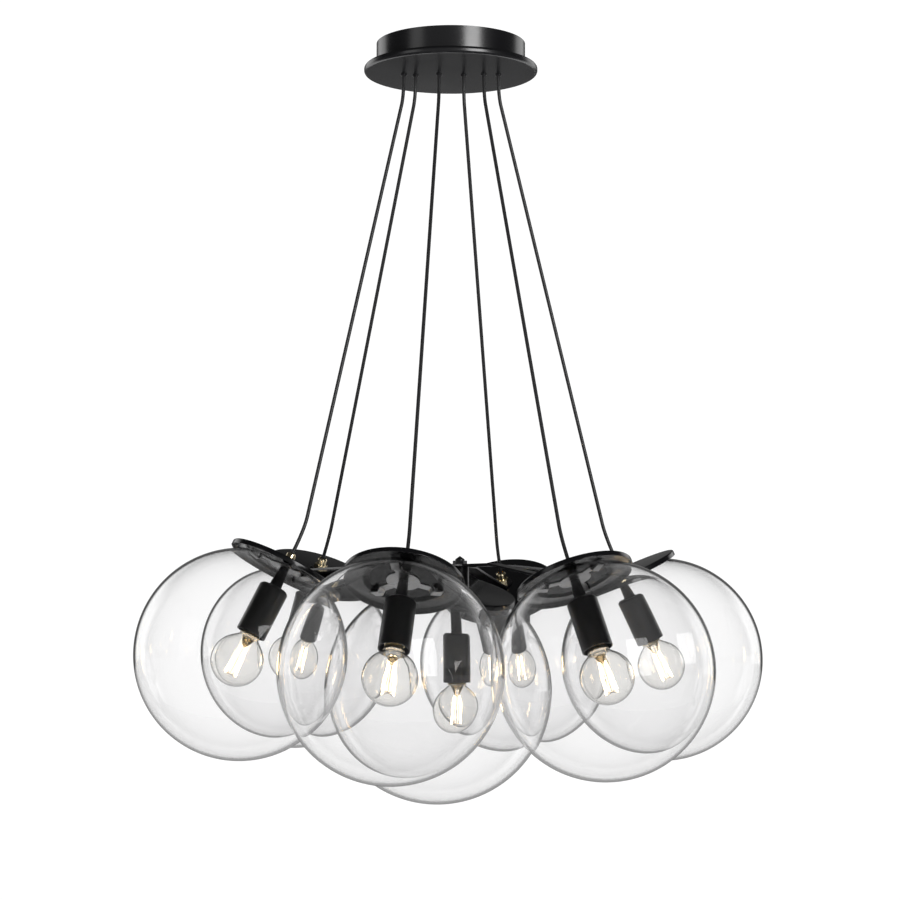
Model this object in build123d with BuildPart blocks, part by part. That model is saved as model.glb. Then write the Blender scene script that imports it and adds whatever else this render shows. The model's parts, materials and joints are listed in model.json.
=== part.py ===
"""Cluster pendant: six cords carry a star bracket with seven clear glass globes.

Millimetres, +Z up. The origin is the middle of the ceiling face of the ceiling plate.
The front of the light, as it is usually seen, faces -Y.
"""

import os
from math import cos, hypot, pi, radians, sin, sqrt, tan

from build123d import *

# ---- driving dimensions -------------------------------------------------------------------

# canopy on the ceiling
CUP_RADIUS = 66.5
CUP_HEIGHT = 20.5
CUP_WALL = 1.2
CUP_GAP = 0.1                # between the drum and the ceiling plate inside it
CUP_FOOT = 14.0              # inward flange that the canopy plate is fixed to
PLATE_RADIUS = 77.5
PLATE_HEIGHT = 6.5
PLATE_SKIN = 1.8
PLATE_ROUND = 2.6
CANOPY_HEIGHT = CUP_HEIGHT + PLATE_HEIGHT
BRACKET_RADIUS = CUP_RADIUS - CUP_WALL - CUP_GAP
BRACKET_SHEET = 2.0
BRACKET_RIM = 10.0
CABLE_HOLE_RADIUS = 7.0
CEILING_HOLE_SPACING = 80.0
CEILING_HOLE_RADIUS = 2.5
CUP_SCREW_RADIUS = 2.0
CUP_SCREW_LENGTH = 5.2
CUP_SCREW_DROP = 6.0
CUP_SCREW_ANGLES = (10, 170)
TERMINAL_SIZE = (30.0, 16.0, 13.0)
TERMINAL_Y = 28.0
TERMINAL_POLES = 3
TERMINAL_ROUND = 1.0
TERMINAL_SCREW_RADIUS = 2.2
TERMINAL_SCREW_DEPTH = 4.0

# cord outlets in the canopy plate
CORD_COUNT = 6
CORD_RADIUS = 1.6
EXIT_PLACES = ((-42.0, 1.0), (-31.5, 4.0), (-10.5, 0.0), (11.5, 4.0), (29.5, 0.0), (42.5, 2.0))
GRIP_HEAD_RADIUS = 2.8
GRIP_HEAD = 1.5
GRIP_SHANK_RADIUS = 2.4
GRIP_SHANK = 5.0
GRIP_NUT_RADIUS = 4.5
GRIP_NUT = 3.0
GRIP_BORE = 1.9
GRIP_ROUND = 0.4

# ring pendants: the bearing and the reach of each globe's centre from the light's axis
GLOBE_BEARINGS = (201.0, 133.0, 257.0, 73.0, 311.0, 11.0)
GLOBE_REACHES = (191.0, 216.0, 210.0, 210.0, 191.0, 191.0)
GLOBE_RISES = (7.0, 7.0, -5.5, -2.0, -6.0, 1.5)    # above the ring's level
LAMP_TILTS = (28.0, 25.0, 29.0, 30.0, 25.0, 25.0)  # each lamp leans outwards at the bottom
RING_DROP = 523.0            # canopy underside to the ring's level

# centre pendant
CENTRE_X = -12.0
CENTRE_Y = 24.0
CENTRE_DROP = 26.0           # below the ring's level
CENTRE_BULB_DROP = 44.0      # bulb centre below the ring's level
LAMP_X = 8.0                 # the centre lamp hangs beside the light's axis
STEM_RADIUS = 5.3

# glass globes
GLASS_RADIUS = 90.0
CENTRE_GLASS_RADIUS = 100.0
GLASS_WALL = 2.0
MOUTH_RADIUS = 34.0

# lids
LID_RADIUS = 50.0
LID_SHEET = 1.5
LID_RIM = 4.5
LID_RIM_WALL = 1.2
LID_BORE = 3.0
CENTRE_LID_BORE = 3.7

# spring clips that hold the glass under the lid
CLIP_SHEET = 1.0
CLIP_RADIUS = 14.0
CLIP_WIDTH = 7.0
CLIP_KNEE = 23.0
CLIP_LOW = 5.0
CLIP_TIP = 33.5
CLIP_FINGERS = 3
CLIP_GAP = 0.1
CENTRE_CLIP_BORE = 6.8

# star bracket
STAR_SHEET = 2.0
STAR_HUB_RADIUS = 24.0
STAR_ARM_WIDTH = 14.0
STAR_EYE_RADIUS = 9.0
STAR_BEND = 10.0             # distance of each arm's bend from its eye
HUB_RISE = 82.6              # the hub stands above the ring's level, clear of the centre lid
STAR_SHOULDER = 56.0         # radius at which each arm starts to fall from the hub's level

# threaded nipples with their nuts
NIPPLE_RADIUS = 2.9
NIPPLE_BORE = 1.8
NUT_SIDES = 6
NUT_FLATS = 11.0
NUT_HEIGHT = 3.5
COLLAR_RADIUS = 4.2
COLLAR_HEIGHT = 6.5
COLLAR_ROUND = 1.2
BELL_RADIUS = 2.7
BELL_DEPTH = 4.8
NIPPLE_TAIL = 1.7            # length inside the tip of the holder's cone
NIPPLE_FIT = 0.1
CORD_IN_BELL = 3.8
SPACER_RADIUS = 8.0          # collar between the centre lid and the bracket
SPACER_REACH = 23.0
STEM_GRIP = 4.5              # length of the centre nipple inside its stem

# lamp holders, measured up from the bulb's centre
HOLDER_LOW = 25.0
HOLDER_HIGH = 70.0
HOLDER_RADIUS = 13.0
HOLDER_CHAMFER = 2.0
HOLDER_WALL = 1.2
HOLDER_FLOOR = 52.0
CONE_TOP_RADIUS = 3.9
CONE_BASE_RADIUS = 5.6
BULB_BELOW_GLOBE = 6.0       # bulb centre below the ring globe's centre

# screw sockets inside the holders
SOCKET_GAP = 0.1
SOCKET_FLOOR = 2.0
SOCKET_BORE = 7.4
SOCKET_WALL = 0.7
SOCKET_LOW = 29.0

# bulbs
BULB_RADIUS = 22.5
BULB_WALL = 0.8
BULB_NECK_RADIUS = 8.3
BULB_NECK_HIGH = 24.0
BULB_SHOULDER_ANGLE = 40.0   # where the ball turns into the neck, from the axis
CAP_RADIUS = 6.9
CAP_HIGH = 49.4
CAP_FLARE_HIGH = 27.5
CAP_CONTACT_RADIUS = 2.6
CAP_INSULATOR_RADIUS = 4.6
CAP_INSULATOR = 2.2
CAP_WALL = 0.6
CAP_SKIRT_LOW = 22.9
CAP_SKIRT_HIGH = 24.4
CAP_THREAD_HIGH = 43.0
CAP_FIT = 0.1
PRESS_HIGH = 14.0            # glass stem: its flare ends and its rod begins
PRESS_RADIUS = 2.2
ROD_RADIUS = 1.2
ROD_LOW = -13.0
FILAMENTS = 4
FILAMENT_RADIUS = 0.8
FILAMENT_TOP = 13.0
FILAMENT_TOP_CIRCLE = 3.6
FILAMENT_LOW_CIRCLE = 6.6
SPOKE = 1.0

# cords
CORD_TOP = 1.5               # inside the outlet, above the point it turns about
CORD_DROP = 18.0             # plumb stretch below that point
CORD_STRAIGHT_END = 26.0     # straight stretch that comes in line with the nipple
ARC_SHARE = 0.45

# ---- worked out --------------------------------------------------------------------------

RING_Z = -(CANOPY_HEIGHT + RING_DROP)
PIVOT_Z = -(CANOPY_HEIGHT + GRIP_HEAD / 2)
MOUTH_Z = sqrt(GLASS_RADIUS**2 - MOUTH_RADIUS**2)
CENTRE_MOUTH_Z = sqrt(CENTRE_GLASS_RADIUS**2 - MOUTH_RADIUS**2)
LID_TOP = MOUTH_Z + LID_SHEET
NUT_LOW = LID_TOP + STAR_SHEET
COLLAR_TOP = NUT_LOW + NUT_HEIGHT + COLLAR_HEIGHT
CONE_TIP = MOUTH_Z - CLIP_SHEET + BULB_BELOW_GLOBE
HUB_Z = RING_Z + HUB_RISE
CENTRE_BULB_Z = RING_Z - CENTRE_BULB_DROP

os.makedirs("parts", exist_ok=True)


def keep(part, label):
    """Name a finished piece and write it."""
    part.label = label
    export_step(part, f"parts/{label}.step")


def tilted(origin, bearing, tilt):
    """Frame at origin whose Z leans towards the light's axis by tilt, X pointing outwards."""
    lean, turn = radians(tilt), radians(bearing)
    axis = Vector(-sin(lean) * cos(turn), -sin(lean) * sin(turn), cos(lean))
    outwards = Vector(cos(lean) * cos(turn), cos(lean) * sin(turn), sin(lean))
    return Plane(origin=origin, x_dir=outwards, z_dir=axis)


def profile_plane(frame, angle=0.0):
    """Plane through a frame's axis: sketch X is the radius at angle, sketch Y the height."""
    turn = radians(angle)
    radial = frame.x_dir * cos(turn) + frame.y_dir * sin(turn)
    return Plane(origin=frame.origin, x_dir=radial, z_dir=radial.cross(frame.z_dir))


def screw_plane(angle, radius=0.0):
    """Plane that faces out of the drum at the height of the cup screws."""
    turn = radians(angle)
    outwards = Vector(cos(turn), sin(turn), 0)
    return Plane(origin=outwards * radius - Vector(0, 0, CUP_SCREW_DROP),
                 x_dir=(-sin(turn), cos(turn), 0), z_dir=outwards)


def spin_axis(frame):
    """The axis of a frame, for revolves."""
    return Axis(frame.origin, frame.z_dir)


ring_frames = []
for bearing, reach, rise, tilt in zip(GLOBE_BEARINGS, GLOBE_REACHES, GLOBE_RISES, LAMP_TILTS):
    turn = radians(bearing)
    centre = Vector(reach * cos(turn), reach * sin(turn), RING_Z + rise)
    ring_frames.append(tilted(centre, bearing, tilt))

# The centre globe's own axis runs from its centre to the centre lamp's axis, at its lid.
centre_lid_height = CENTRE_MOUTH_Z + LID_SHEET / 2
centre_offset = hypot(LAMP_X - CENTRE_X, CENTRE_Y)
centre_origin = Vector(CENTRE_X, CENTRE_Y, RING_Z - CENTRE_DROP)
centre_lid_rise = sqrt(centre_lid_height**2 - centre_offset**2)
centre_axis = Vector(LAMP_X - CENTRE_X, -CENTRE_Y, centre_lid_rise)
centre_frame = Plane(origin=centre_origin,
                     x_dir=Vector(1, 0, (CENTRE_X - LAMP_X) / centre_lid_rise),
                     z_dir=centre_axis)
centre_lamp = Plane(origin=(LAMP_X, 0, CENTRE_BULB_Z), x_dir=(1, 0, 0), z_dir=(0, 0, 1))
ring_lamps = [frame.offset(-BULB_BELOW_GLOBE) for frame in ring_frames]
lamp_frames = ring_lamps + [centre_lamp]
globe_frames = ring_frames + [centre_frame]


# ---- ceiling plate: a pressed disc with a turned-down rim ----------------------------------

with BuildPart() as ceiling_plate:
    with BuildSketch():
        Circle(BRACKET_RADIUS)
    extrude(amount=-BRACKET_RIM)
    with BuildSketch(Plane.XY.offset(-BRACKET_SHEET)):
        Circle(BRACKET_RADIUS - BRACKET_SHEET)
    extrude(amount=-BRACKET_RIM, mode=Mode.SUBTRACT)
    with BuildSketch():
        Circle(CABLE_HOLE_RADIUS)
        with GridLocations(CEILING_HOLE_SPACING, 1, 2, 1):
            Circle(CEILING_HOLE_RADIUS)
    extrude(amount=-BRACKET_SHEET, mode=Mode.SUBTRACT)
    for angle in CUP_SCREW_ANGLES:
        with BuildSketch(screw_plane(angle)):
            Circle(CUP_SCREW_RADIUS + NIPPLE_FIT)
        extrude(amount=PLATE_RADIUS, mode=Mode.SUBTRACT)
keep(ceiling_plate.part, "ceiling_plate")

# ---- canopy cup: the drum under the ceiling, with an inward foot ---------------------------

with BuildPart() as canopy_cup:
    with BuildSketch(Plane.XZ):
        with BuildLine():
            Polyline(
                (CUP_RADIUS - CUP_WALL, 0),
                (CUP_RADIUS, 0),
                (CUP_RADIUS, -CUP_HEIGHT),
                (CUP_RADIUS - CUP_FOOT, -CUP_HEIGHT),
                (CUP_RADIUS - CUP_FOOT, -CUP_HEIGHT + CUP_WALL),
                (CUP_RADIUS - CUP_WALL, -CUP_HEIGHT + CUP_WALL),
                close=True,
            )
        make_face()
    revolve(axis=Axis.Z)
    for angle in CUP_SCREW_ANGLES:
        with BuildSketch(screw_plane(angle)):
            Circle(CUP_SCREW_RADIUS + NIPPLE_FIT)
        extrude(amount=PLATE_RADIUS, mode=Mode.SUBTRACT)
keep(canopy_cup.part, "canopy_cup")

# ---- canopy plate: a turned disc, hollow on top, with the six cord outlets -----------------

with BuildPart() as canopy_plate:
    with BuildSketch(Plane.XY.offset(-CANOPY_HEIGHT)):
        Circle(PLATE_RADIUS)
    extrude(amount=PLATE_HEIGHT)
    fillet(canopy_plate.edges().group_by(Axis.Z)[0], PLATE_ROUND)
    fillet(canopy_plate.edges().group_by(Axis.Z)[-1], PLATE_ROUND)
    with BuildSketch(Plane.XY.offset(-CANOPY_HEIGHT + PLATE_SKIN)):
        Circle(CUP_RADIUS - CUP_FOOT)
    extrude(amount=PLATE_HEIGHT, mode=Mode.SUBTRACT)
    with BuildSketch(Plane.XY.offset(-CANOPY_HEIGHT)):
        with Locations(*EXIT_PLACES):
            Circle(GRIP_SHANK_RADIUS + NIPPLE_FIT / 2)
    extrude(amount=PLATE_SKIN, mode=Mode.SUBTRACT)
keep(canopy_plate.part, "canopy_plate")

# ---- cup screws: two grub screws, flush with the drum -------------------------------------

with BuildPart() as cup_screws:
    for angle in CUP_SCREW_ANGLES:
        with BuildSketch(screw_plane(angle, CUP_RADIUS)):
            Circle(CUP_SCREW_RADIUS)
        extrude(amount=-CUP_SCREW_LENGTH)
        with BuildSketch(screw_plane(angle, CUP_RADIUS)):
            RegularPolygon(CUP_SCREW_RADIUS / 2, NUT_SIDES)
        extrude(amount=-CUP_SCREW_LENGTH / 2, mode=Mode.SUBTRACT)
keep(cup_screws.part, "cup_screws")

# ---- terminal block under the ceiling plate --------------------------------------------------

terminal_x, terminal_y, terminal_z = TERMINAL_SIZE
with BuildPart() as terminal_block:
    with BuildSketch(Plane.XY.offset(-BRACKET_SHEET)):
        with Locations((0, TERMINAL_Y)):
            Rectangle(terminal_x, terminal_y)
    extrude(amount=-terminal_z)
    fillet(terminal_block.edges().filter_by(Axis.Z), TERMINAL_ROUND)
    with BuildSketch(Plane.XY.offset(-BRACKET_SHEET - terminal_z)):
        with Locations((0, TERMINAL_Y)):
            with GridLocations(terminal_x / TERMINAL_POLES, terminal_y / 2, TERMINAL_POLES, 2):
                Circle(TERMINAL_SCREW_RADIUS)
    extrude(amount=TERMINAL_SCREW_DEPTH, mode=Mode.SUBTRACT)
keep(terminal_block.part, "terminal_block")

# ---- cord outlets: six flanged bushes with a nut inside the canopy ---------------------------

exit_points = [Vector(x, y, PIVOT_Z) for x, y in EXIT_PLACES]
nut_low = -CANOPY_HEIGHT + PLATE_SKIN
grip_top = -CANOPY_HEIGHT + PLATE_SKIN + GRIP_SHANK
with BuildPart() as cord_outlets:
    for point in exit_points:
        grip_frame = Plane(origin=(point.X, point.Y, 0), x_dir=(1, 0, 0), z_dir=(0, 0, 1))
        head_low = -CANOPY_HEIGHT - GRIP_HEAD
        with BuildSketch(profile_plane(grip_frame)):
            with BuildLine():
                Polyline(
                    (GRIP_BORE, head_low),
                    (GRIP_HEAD_RADIUS - GRIP_ROUND, head_low),
                    (GRIP_HEAD_RADIUS, head_low + GRIP_ROUND),
                    (GRIP_HEAD_RADIUS, -CANOPY_HEIGHT),
                    (GRIP_SHANK_RADIUS, -CANOPY_HEIGHT),
                    (GRIP_SHANK_RADIUS, nut_low),
                    (GRIP_NUT_RADIUS, nut_low),
                    (GRIP_NUT_RADIUS, nut_low + GRIP_NUT),
                    (GRIP_SHANK_RADIUS, nut_low + GRIP_NUT),
                    (GRIP_SHANK_RADIUS, grip_top),
                    (GRIP_BORE, grip_top),
                    close=True,
                )
            make_face()
        revolve(axis=spin_axis(grip_frame))
keep(cord_outlets.part, "cord_outlets")


# ---- glass globes: blown shells with a ground mouth -------------------------------------------

def make_globe(frame, radius, label):
    """Shell between two spheres, cut flat at the mouth."""
    inner = radius - GLASS_WALL
    mouth_z = sqrt(radius**2 - MOUTH_RADIUS**2)
    inner_mouth = sqrt(inner**2 - mouth_z**2)
    with BuildPart() as globe:
        with BuildSketch(profile_plane(frame)):
            with BuildLine():
                ThreePointArc((MOUTH_RADIUS, mouth_z), (radius, 0), (0, -radius))
                Line((0, -radius), (0, -inner))
                ThreePointArc((0, -inner), (inner, 0), (inner_mouth, mouth_z))
                Line((inner_mouth, mouth_z), (MOUTH_RADIUS, mouth_z))
            make_face()
        revolve(axis=spin_axis(frame))
    keep(globe.part, label)


# ---- lids: spun black discs with a turned-down rim ---------------------------------------------

def make_lid(frame, mouth_z, bore, label):
    """Flat disc on the glass mouth, its edge rounded and turned down."""
    top = mouth_z + LID_SHEET
    rim_inner = LID_RADIUS - LID_RIM_WALL
    with BuildPart() as lid:
        with BuildSketch(profile_plane(frame)):
            with BuildLine():
                Polyline(
                    (LID_RADIUS, top - LID_RIM_WALL),
                    (LID_RADIUS, top - LID_RIM),
                    (rim_inner, top - LID_RIM),
                    (rim_inner, mouth_z),
                    (bore, mouth_z),
                    (bore, top),
                    (rim_inner, top),
                )
                RadiusArc((rim_inner, top), (LID_RADIUS, top - LID_RIM_WALL), LID_RIM_WALL)
            make_face()
        revolve(axis=spin_axis(frame))
    keep(lid.part, label)


for number, frame in enumerate(globe_frames, start=1):
    ring = number <= CORD_COUNT
    make_globe(frame, GLASS_RADIUS if ring else CENTRE_GLASS_RADIUS, f"globe_{number}")
    make_lid(frame, MOUTH_Z if ring else CENTRE_MOUTH_Z,
             LID_BORE if ring else CENTRE_LID_BORE, f"lid_{number}")

# ---- globe clips: sprung plates whose three fingers hook under each glass mouth ---------------

with BuildPart() as globe_clips:
    for number, frame in enumerate(globe_frames, start=1):
        ring = number <= CORD_COUNT
        top = MOUTH_Z if ring else CENTRE_MOUTH_Z
        low = top - CLIP_SHEET
        glass_inner = (GLASS_RADIUS if ring else CENTRE_GLASS_RADIUS) - GLASS_WALL
        tip_top = sqrt(glass_inner**2 - CLIP_TIP**2 - CLIP_WIDTH**2 / 4) - CLIP_GAP
        with BuildSketch(frame.offset(low)):
            Circle(CLIP_RADIUS)
            Circle(LID_BORE if ring else CENTRE_CLIP_BORE, mode=Mode.SUBTRACT)
        extrude(amount=CLIP_SHEET)
        for finger in range(CLIP_FINGERS):
            with BuildSketch(profile_plane(frame, finger * 360 / CLIP_FINGERS)):
                with BuildLine():
                    Polyline(
                        (CLIP_RADIUS - CLIP_SHEET, low),
                        (CLIP_KNEE, low),
                        (CLIP_KNEE + 2 * CLIP_SHEET, top - CLIP_LOW),
                        (CLIP_TIP, tip_top - CLIP_SHEET),
                        (CLIP_TIP, tip_top),
                        (CLIP_KNEE + 3 * CLIP_SHEET, top - CLIP_LOW + CLIP_SHEET),
                        (CLIP_KNEE + CLIP_SHEET, top),
                        (CLIP_RADIUS - CLIP_SHEET, top),
                        close=True,
                    )
                make_face()
            extrude(amount=CLIP_WIDTH / 2, both=True)
keep(globe_clips.part, "globe_clips")

# ---- star bracket: one sheet, six bent arms with an eye on each lid ----------------------------

light_frame = Plane(origin=(0, 0, 0), x_dir=(1, 0, 0), z_dir=(0, 0, 1))
hub_frame = Plane(origin=(LAMP_X, 0, HUB_Z), x_dir=(1, 0, 0), z_dir=(0, 0, 1))
with BuildPart() as star_bracket:
    with BuildSketch(Plane.XY.offset(HUB_Z)):
        Circle(STAR_HUB_RADIUS)
    extrude(amount=STAR_SHEET)
    for bearing, tilt, frame in zip(GLOBE_BEARINGS, LAMP_TILTS, ring_frames):
        lean = radians(tilt)
        eye_r = hypot(frame.origin.X, frame.origin.Y) - LID_TOP * sin(lean)
        eye_z = frame.origin.Z + LID_TOP * cos(lean)
        bend_r = eye_r - STAR_BEND * cos(lean)
        bend_z = eye_z - STAR_BEND * sin(lean)
        with BuildSketch(profile_plane(light_frame, bearing)):
            with BuildLine():
                Polyline(
                    (0, HUB_Z),
                    (STAR_SHOULDER, HUB_Z),
                    (bend_r, bend_z),
                    (eye_r, eye_z),
                    (eye_r - STAR_SHEET * sin(lean), eye_z + STAR_SHEET * cos(lean)),
                    (bend_r - STAR_SHEET * tan(lean / 2), bend_z + STAR_SHEET),
                    (STAR_SHOULDER, HUB_Z + STAR_SHEET),
                    (0, HUB_Z + STAR_SHEET),
                    close=True,
                )
            make_face()
        extrude(amount=STAR_ARM_WIDTH / 2, both=True)
        with BuildSketch(frame.offset(LID_TOP)):
            Circle(STAR_EYE_RADIUS)
        extrude(amount=STAR_SHEET)
        with BuildSketch(frame.offset(LID_TOP)):
            Circle(NIPPLE_RADIUS + NIPPLE_FIT)
        extrude(amount=STAR_SHEET, mode=Mode.SUBTRACT)
    with BuildSketch(hub_frame):
        Circle(NIPPLE_RADIUS + NIPPLE_FIT)
    extrude(amount=STAR_SHEET, mode=Mode.SUBTRACT)
keep(star_bracket.part, "star_bracket")

# ---- nipples: threaded tubes with a hex nut and a collar that the cord runs into ---------------

nut_top = NUT_LOW + NUT_HEIGHT
centre_lid_top = centre_frame.offset(CENTRE_MOUTH_Z + LID_SHEET)
centre_tail_z = RING_Z - CENTRE_DROP + centre_lid_rise - STEM_GRIP
with BuildPart() as cord_nipples:
    # The centre spacer's foot is cut to the lean of the lid, then the closed nipple goes through it.
    with BuildSketch(hub_frame):
        Circle(SPACER_RADIUS)
    extrude(amount=-SPACER_REACH)
    with BuildSketch(centre_lid_top):
        Circle(2 * SPACER_RADIUS)
    extrude(amount=-SPACER_REACH, mode=Mode.SUBTRACT)
    with BuildSketch(profile_plane(hub_frame)):
        with BuildLine():
            Polyline(
                (0, centre_tail_z - HUB_Z),
                (NIPPLE_RADIUS, centre_tail_z - HUB_Z),
                (NIPPLE_RADIUS, STAR_SHEET + NUT_HEIGHT / 2),
                (COLLAR_RADIUS, STAR_SHEET + NUT_HEIGHT / 2),
                (COLLAR_RADIUS, STAR_SHEET + NUT_HEIGHT + COLLAR_ROUND),
                (0, STAR_SHEET + NUT_HEIGHT + COLLAR_RADIUS),
                close=True,
            )
        make_face()
    revolve(axis=spin_axis(hub_frame))
    with BuildSketch(hub_frame.offset(STAR_SHEET)):
        RegularPolygon(NUT_FLATS / 2, NUT_SIDES, major_radius=False)
    extrude(amount=NUT_HEIGHT)
    for frame in ring_frames:
        with BuildSketch(profile_plane(frame)):
            with BuildLine():
                Polyline(
                    (NIPPLE_BORE, MOUTH_Z - CLIP_SHEET - NIPPLE_TAIL),
                    (NIPPLE_RADIUS, MOUTH_Z - CLIP_SHEET - NIPPLE_TAIL),
                    (NIPPLE_RADIUS, nut_top - NUT_HEIGHT / 2),
                    (COLLAR_RADIUS, nut_top - NUT_HEIGHT / 2),
                    (COLLAR_RADIUS, COLLAR_TOP - COLLAR_ROUND),
                    (COLLAR_RADIUS - COLLAR_ROUND, COLLAR_TOP),
                    (BELL_RADIUS, COLLAR_TOP),
                    (BELL_RADIUS, COLLAR_TOP - BELL_DEPTH),
                    (NIPPLE_BORE, COLLAR_TOP - BELL_DEPTH),
                    close=True,
                )
            make_face()
        revolve(axis=spin_axis(frame))
        with BuildSketch(frame.offset(NUT_LOW)):
            RegularPolygon(NUT_FLATS / 2, NUT_SIDES, major_radius=False)
            Circle(NIPPLE_RADIUS, mode=Mode.SUBTRACT)
        extrude(amount=NUT_HEIGHT)
keep(cord_nipples.part, "cord_nipples")

# ---- lamp holders: smooth black sleeves under a cord cone, or under the centre stem -------------

holder_inner = HOLDER_RADIUS - HOLDER_WALL
tail_radius = NIPPLE_RADIUS + NIPPLE_FIT
for number, lamp in enumerate(ring_lamps, start=1):
    tail_low = CONE_TIP - NIPPLE_TAIL - NIPPLE_FIT
    with BuildPart() as lamp_holder:
        with BuildSketch(profile_plane(lamp)):
            with BuildLine():
                Polyline(
                    (holder_inner, HOLDER_LOW),
                    (HOLDER_RADIUS, HOLDER_LOW),
                    (HOLDER_RADIUS, HOLDER_HIGH - HOLDER_CHAMFER),
                    (HOLDER_RADIUS - HOLDER_CHAMFER, HOLDER_HIGH),
                    (CONE_BASE_RADIUS, HOLDER_HIGH),
                    (CONE_TOP_RADIUS, CONE_TIP),
                    (tail_radius, CONE_TIP),
                    (tail_radius, tail_low),
                    (NIPPLE_BORE, tail_low),
                    (NIPPLE_BORE, HOLDER_FLOOR),
                    (holder_inner, HOLDER_FLOOR),
                    close=True,
                )
            make_face()
        revolve(axis=spin_axis(lamp))
    keep(lamp_holder.part, f"lamp_holder_{number}")

# The centre stem runs up to the lid, where its top is mitred to the lid's lean.
lid_under = centre_frame.offset(CENTRE_MOUTH_Z)
stem_high = HUB_Z - CENTRE_BULB_Z
stem_tail_low = centre_tail_z - NIPPLE_FIT - CENTRE_BULB_Z
with BuildPart() as centre_holder:
    with BuildSketch(profile_plane(centre_lamp)):
        with BuildLine():
            Polyline(
                (holder_inner, HOLDER_LOW),
                (HOLDER_RADIUS, HOLDER_LOW),
                (HOLDER_RADIUS, HOLDER_HIGH - HOLDER_CHAMFER),
                (HOLDER_RADIUS - HOLDER_CHAMFER, HOLDER_HIGH),
                (STEM_RADIUS, HOLDER_HIGH),
                (STEM_RADIUS, stem_high),
                (tail_radius, stem_high),
                (tail_radius, stem_tail_low),
                (NIPPLE_BORE, stem_tail_low),
                (NIPPLE_BORE, HOLDER_FLOOR),
                (holder_inner, HOLDER_FLOOR),
                close=True,
            )
        make_face()
    revolve(axis=spin_axis(centre_lamp))
    split(bisect_by=lid_under, keep=Keep.BOTTOM)
keep(centre_holder.part, "lamp_holder_7")

# ---- lamp sockets: a brass screw shell on an insulating floor in each holder --------------------

socket_outer = SOCKET_BORE + SOCKET_WALL
socket_floor_low = HOLDER_FLOOR - SOCKET_FLOOR
with BuildPart() as lamp_sockets:
    for lamp in lamp_frames:
        with BuildSketch(profile_plane(lamp)):
            with BuildLine():
                Polyline(
                    (0, socket_floor_low),
                    (SOCKET_BORE, socket_floor_low),
                    (SOCKET_BORE, SOCKET_LOW),
                    (socket_outer, SOCKET_LOW),
                    (socket_outer, socket_floor_low),
                    (holder_inner - SOCKET_GAP, socket_floor_low),
                    (holder_inner - SOCKET_GAP, HOLDER_FLOOR),
                    (0, HOLDER_FLOOR),
                    close=True,
                )
            make_face()
        revolve(axis=spin_axis(lamp))
keep(lamp_sockets.part, "lamp_sockets")


# ---- bulbs: glass ball, screw cap, and the stem with its filaments ------------------------------

def ball_to_neck(radius, neck):
    """Where the ball ends and where its tangent reaches the neck radius."""
    turn = radians(BULB_SHOULDER_ANGLE)
    shoulder = (radius * sin(turn), radius * cos(turn))
    run = (shoulder[0] - neck) / cos(turn)
    return shoulder, (neck, shoulder[1] + run * sin(turn))


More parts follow.
